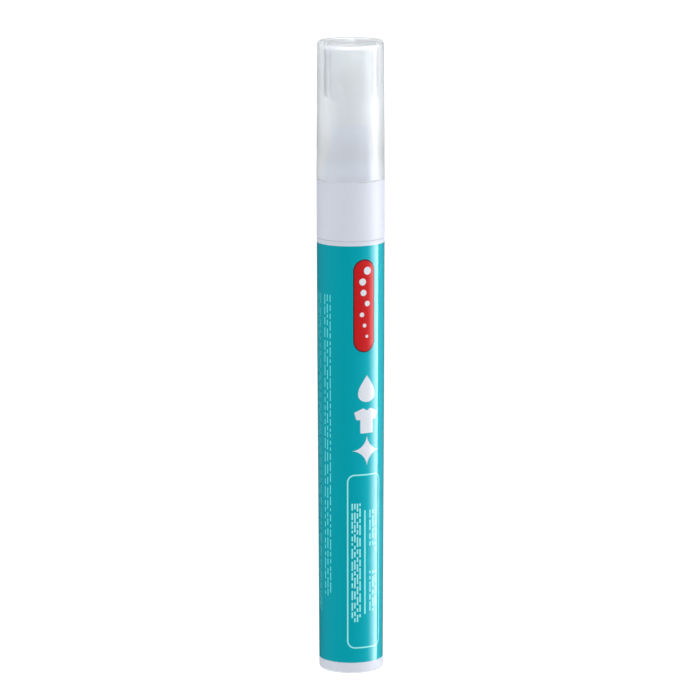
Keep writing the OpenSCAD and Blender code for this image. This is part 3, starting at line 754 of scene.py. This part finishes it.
rib_share = (rib_w / 2 + rib_side - from_rib(cap_turns[None], cap_profile[:, 1:])) / rib_side
rib_share = np.clip(rib_share, 0, 1)
rib_share = rib_share * rib_share * (3 - 2 * rib_share)
on_bore = np.abs(cap_profile[:, 0] - cap_bore_r) < bore_draft + hair
on_bore &= cap_profile[:, 1] > neck_top - whisker
cap_bulge = -rib_depth * rib_share * on_bore[:, None]
cap = turned("cap_shell", cap_profile, closed=True, turns=cap_turns, bulge=cap_bulge)

# Painted shade: a greyer band low on the cap, in its base colour, that stands in for the shade of the neck
# and nose inside, seen through the wall. It comes in between two heights, goes out again by a third, and
# drifts with soft clouds.
cloud_drift = 3 * mm
painted_shade, given, result = effect(
    "dulled band", [("Vector", None), ("Low", 0.0), ("Middle", 0.01), ("High", 0.02)], ["Mask"])
parts = node(painted_shade, "SeparateXYZ", {0: given["Vector"]})
clouds = node(painted_shade, "TexNoise", {"Vector": given["Vector"], "Scale": 240.0, "Detail": 2.0})
drift = node(painted_shade, "Math", {0: clouds.outputs["Fac"], 1: cloud_drift, 2: parts.outputs["Z"]},
             operation="MULTIPLY_ADD")
above = node(painted_shade, "MapRange", {"Value": drift.outputs[0], "From Min": given["Middle"],
                                  "From Max": given["High"], "To Min": 1.0, "To Max": 0.0},
             interpolation_type="SMOOTHSTEP")
below = node(painted_shade, "MapRange", {"Value": drift.outputs[0], "From Min": given["Low"],
                                  "From Max": given["Middle"]},
             interpolation_type="SMOOTHSTEP")
band = node(painted_shade, "Math", {0: above.outputs[0], 1: below.outputs[0]}, operation="MULTIPLY")
painted_shade.links.new(band.outputs[0], result["Mask"])
shade_low, shade_middle, shade_high = collar_top + 2.5 * mm, collar_top + 7.5 * mm, collar_top + 16 * mm
painted_shade_tint = (0.91, 0.90, 0.885, 1)
top_rub = 1.2 * mm


def cap_finish(name, through, gloss, shine, colour, second):
    """Natural polypropylene that lets through a share of the light, with painted shade that makes it greyer
    in the band low on the cap.
    """
    made, tree, shader, at = material(name, IOR=1.40, Transmission_Weight=through, Specular_IOR_Level=shine)
    skin = use(tree, moulded, Vector=at, Peel_Scale=1500.0, Flow_Scale=350.0, Gloss=gloss, Gloss_Spread=0.08)
    marks = use(tree, scuffs, Vector=at, Scale=2200.0, Amount=0.1)
    rub = use(tree, rubbed, Vector=at, Height=cap_top, Width=top_rub, Amount=0.2)
    painted_band = use(tree, painted_shade, Vector=at, Low=shade_low, Middle=shade_middle, High=shade_high)
    tone = blend_colour(tree, skin["Flow"], colour, second)
    # Painted shade: the base colour turns greyer in the band low on the cap
    tone = blend_colour(tree, painted_band["Mask"], tone, [part * shade for part, shade in zip(colour, painted_shade_tint)])
    tree.links.new(tone, shader.inputs["Base Color"])
    rough = node(tree, "Math", {0: marks["Mask"], 1: 0.2, 2: skin["Roughness"]}, operation="MULTIPLY_ADD")
    rough = node(tree, "Math", {0: rub["Mask"], 1: 0.3, 2: rough.outputs[0]}, operation="MULTIPLY_ADD")
    tree.links.new(rough.outputs[0], shader.inputs["Roughness"])
    raise_by(tree, shader, skin["Height"], 0.002 * mm)
    return made


# The outside is a little milky, the polished bore is nearly clear, and the sleeve's outside is hazy. The
# ribs' steep sides, which send the light elsewhere, get painted shade: a grey base colour that stands in for
# the dark lines their refraction draws.
milky = cap_finish("milky_plastic", 0.70, 0.30, 0.0, (0.90, 0.925, 0.955, 1), (0.93, 0.95, 0.97, 1))
polished = cap_finish("polished_bore", 0.97, 0.06, 0.3, (0.93, 0.955, 0.97, 1), (0.95, 0.97, 0.98, 1))
hazy = cap_finish("hazy_sleeve", 0.25, 0.20, 1.0, (0.95, 0.985, 0.985, 1), (0.96, 0.99, 0.99, 1))
# Painted shade: the rib sides are grey in colour, for the dark lines that refraction draws there
rib_sides_painted_shade = cap_finish("rib_sides_painted_shade", 0.1, 0.20, 0.3, (0.60, 0.63, 0.67, 1), (0.66, 0.69, 0.73, 1))
for finish in (milky, polished, hazy, rib_sides_painted_shade):
    cap.data.materials.append(finish)
face_middles = np.array([face.center for face in cap.data.polygons])
face_r, face_z = np.hypot(face_middles[:, 0], face_middles[:, 1]), face_middles[:, 2]
face_turn = np.arctan2(face_middles[:, 1], face_middles[:, 0])
inside = (face_r < (cap_bore_r + body_r) / 2) & (face_z < roof_z + hair)
on_sleeve = (face_r > sleeve_bore_r + sleeve_bevel) & (face_r < sleeve_r + 2 * hair)
on_sleeve &= inside & (face_z < roof_z - fillet_clear)
from_side = np.abs(from_rib(face_turn, face_z) - rib_w / 2 - rib_side / 2)
on_rib_side = (face_r > sleeve_r + sleeve_clear) & (from_side < rib_side)
cap.data.polygons.foreach_set("material_index", inside.astype(np.int32) + on_sleeve + 2 * on_rib_side)
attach(cap, "cap_body")
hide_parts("cap")

# Studio
# A plain pale floor that glows a little, like a light table, so that it stays white to its far edge. Its
# glow lights the pen from below, and it doesn't show in the gloss.
floor_half, floor_glow = 6.0, 0.84
floor_corners = np.array([(-1, -1, 0), (1, -1, 0), (1, 1, 0), (-1, 1, 0)]) * floor_half
floor = solid("floor", floor_corners, np.array([[0, 1, 2, 3]]))
pale, tree, shader, at = material(
    "pale_floor", Roughness=0.9, Specular_IOR_Level=0.0, Emission_Color=(1, 1, 1, 1),
    Emission_Strength=floor_glow)
cloud = node(tree, "TexNoise", {"Vector": at, "Scale": 3.0, "Detail": 3.0})
tone = blend_colour(tree, cloud.outputs["Fac"], (0.26, 0.26, 0.26, 1), (0.28, 0.28, 0.28, 1))
tree.links.new(tone, shader.inputs["Base Color"])
floor.data.materials.append(pale)
floor.visible_glossy = False
floor.visible_shadow = False

# A wide soft light overhead, leaning a little from the front left. It reaches the whole floor alike.
pen_middle = Vector((0, 0, cap_top / 2))
overhead_from, overhead_spread, overhead_light = Vector((-0.05, -0.12, 1.0)), math.radians(50), 2.5
lamp = bpy.data.lights.new("overhead", "SUN")
lamp.energy, lamp.angle = overhead_light, overhead_spread
overhead = bpy.data.objects.new("overhead", lamp)
overhead.rotation_euler = (-overhead_from).to_track_quat("-Z", "Y").to_euler()
bpy.context.scene.collection.objects.link(overhead)

# Two soft lamps that light the sides and don't show in the gloss: a strong one at the right, a weak one at
# the left. Each has its turn from the front and its power in watts.
lamp_size, lamp_away = 0.8, 1.2
side_lamps = [("right_lamp", math.radians(87), 7.2), ("left_lamp", math.radians(-60), 2.0)]
for name, turn_to, power in side_lamps:
    lamp = bpy.data.lights.new(name, "AREA")
    lamp.energy, lamp.size = power, lamp_size
    side_lamp = bpy.data.objects.new(name, lamp)
    side_lamp.location = pen_middle + lamp_away * Vector((math.sin(turn_to), -math.cos(turn_to), 0))
    side_lamp.rotation_euler = (pen_middle - side_lamp.location).to_track_quat("-Z", "Y").to_euler()
    side_lamp.visible_glossy = False
    bpy.context.scene.collection.objects.link(side_lamp)

# A curved wall of reflectors that the camera doesn't see. At the right it brightens slowly towards the rear
# and stops short, which draws the soft left edge and the sharp right edge of the highlight in the gloss.
# Behind the pen it glows faintly. Light that comes through the cap passes the wall and picks up a share of
# its glow.
wall_r, wall_low, wall_high = 0.6, -0.22, 0.24
bright_from, bright_to, bright_glow = math.radians(60), math.radians(107), 9.4
rear_to, rear_glow, inner_share = math.radians(170), 0.05, 0.5
wall_columns, wall_rows = 221, 3
wall_turns = np.linspace(bright_from, rear_to, wall_columns)
wall_turn, wall_up = np.meshgrid(wall_turns, np.linspace(wall_low, wall_high, wall_rows))
wall_places = np.stack([wall_r * np.sin(wall_turn), -wall_r * np.cos(wall_turn), wall_up], axis=2)
index = np.arange(wall_turn.size).reshape(wall_turn.shape)
wall_faces = np.stack([index[:-1, :-1], index[1:, :-1], index[1:, 1:], index[:-1, 1:]], axis=2)
wall = solid("reflector_wall", wall_places, wall_faces)
turn_of = np.array([math.atan2(v.co.x, -v.co.y) for v in wall.data.vertices])
ramp = np.clip((turn_of - bright_from) / (bright_to - bright_from), 0, 1)
bright = np.where(turn_of > bright_to, rear_glow, bright_glow * ramp * ramp * (3 - 2 * ramp))
wall.data.attributes.new("glow", "FLOAT", "POINT").data.foreach_set("value", bright.astype(np.float32))
glow = bpy.data.materials.new("reflector_glow")
glow.use_nodes = True
tree = glow.node_tree
tree.nodes.clear()
passing = node(tree, "LightPath").outputs["Is Transmission Ray"]
share = node(tree, "Math", {0: passing, 1: inner_share - 1, 2: 1.0}, operation="MULTIPLY_ADD")
full = node(tree, "Attribute", attribute_name="glow").outputs["Fac"]
power = node(tree, "Math", {0: full, 1: share.outputs[0]}, operation="MULTIPLY")
lit = node(tree, "Emission", {"Strength": power.outputs[0]})
clear = node(tree, "MixShader", {0: passing, 2: node(tree, "BsdfTransparent").outputs[0]})
both = node(tree, "AddShader", {0: lit.outputs[0], 1: clear.outputs[0]})
tree.links.new(both.outputs[0], node(tree, "OutputMaterial").inputs["Surface"])
wall.data.materials.append(glow)
wall.visible_camera = False
wall.visible_diffuse = False
wall.visible_shadow = False

# The room: white where the camera looks past the floor, brighter behind what lets light through, and a soft
# grey for all other light. In the gloss it is dark, but for a white part behind the pen above the horizon.
white_room, bright_room, grey_room = 1.1, 1.78, 0.06
gloss_low, gloss_high, gloss_room = 0.04, 0.14, 1.0
rear_start, rear_full = 0.2, 0.6
world = bpy.data.worlds.new("room")
bpy.context.scene.world = world
world.use_nodes = True
tree = world.node_tree
tree.nodes.clear()
ray = node(tree, "LightPath")
towards = node(tree, "SeparateXYZ", {0: node(tree, "TexCoord").outputs["Generated"]})
above = node(tree, "MapRange", {"Value": towards.outputs["Z"], "From Min": gloss_low,
                                "From Max": gloss_high, "To Max": gloss_room})
behind = node(tree, "MapRange", {"Value": towards.outputs["Y"], "From Min": rear_start,
                                 "From Max": rear_full})
gloss = node(tree, "Math", {0: above.outputs[0], 1: behind.outputs[0], 2: -grey_room},
             operation="MULTIPLY_ADD")
strength = node(tree, "Math", {0: ray.outputs["Is Glossy Ray"], 1: gloss.outputs[0], 2: grey_room},
                operation="MULTIPLY_ADD")
for kind, share in (("Is Transmission Ray", bright_room), ("Is Camera Ray", white_room)):
    strength = node(tree, "Math", {0: ray.outputs[kind], 1: share, 2: strength.outputs[0]},
                    operation="MULTIPLY_ADD")
room = node(tree, "Background", {"Color": (1, 1, 1, 1), "Strength": strength.outputs[0]})
tree.links.new(room.outputs[0], node(tree, "OutputWorld").inputs["Surface"])
bpy.context.scene.view_settings.view_transform = "Standard"

# Camera
# A long lens that looks down at the pen a little. It stands as far away as the slight drawing together of
# the pen's sides tells, and aims near the pen's middle.
sensor, focal_pixels, frame_pixels = 36.0, 4000.0, 700.0
look_down, distance, roll = math.radians(10.6), 0.9118, math.radians(-0.05)
aim = Vector((-0.18 * mm, 0, 74.2 * mm))
lens = bpy.data.cameras.new("camera")
lens.sensor_width = sensor
lens.lens = focal_pixels / frame_pixels * sensor
lens.clip_start, lens.clip_end = 0.05, 30
camera = bpy.data.objects.new("camera", lens)
camera.location = pen_middle + distance * Vector((0, -math.cos(look_down), math.sin(look_down)))
level = (aim - camera.location).to_track_quat("-Z", "Y")
camera.rotation_euler = (level @ Quaternion((0, 0, 1), roll)).to_euler()
bpy.context.scene.collection.objects.link(camera)
bpy.context.scene.camera = camera
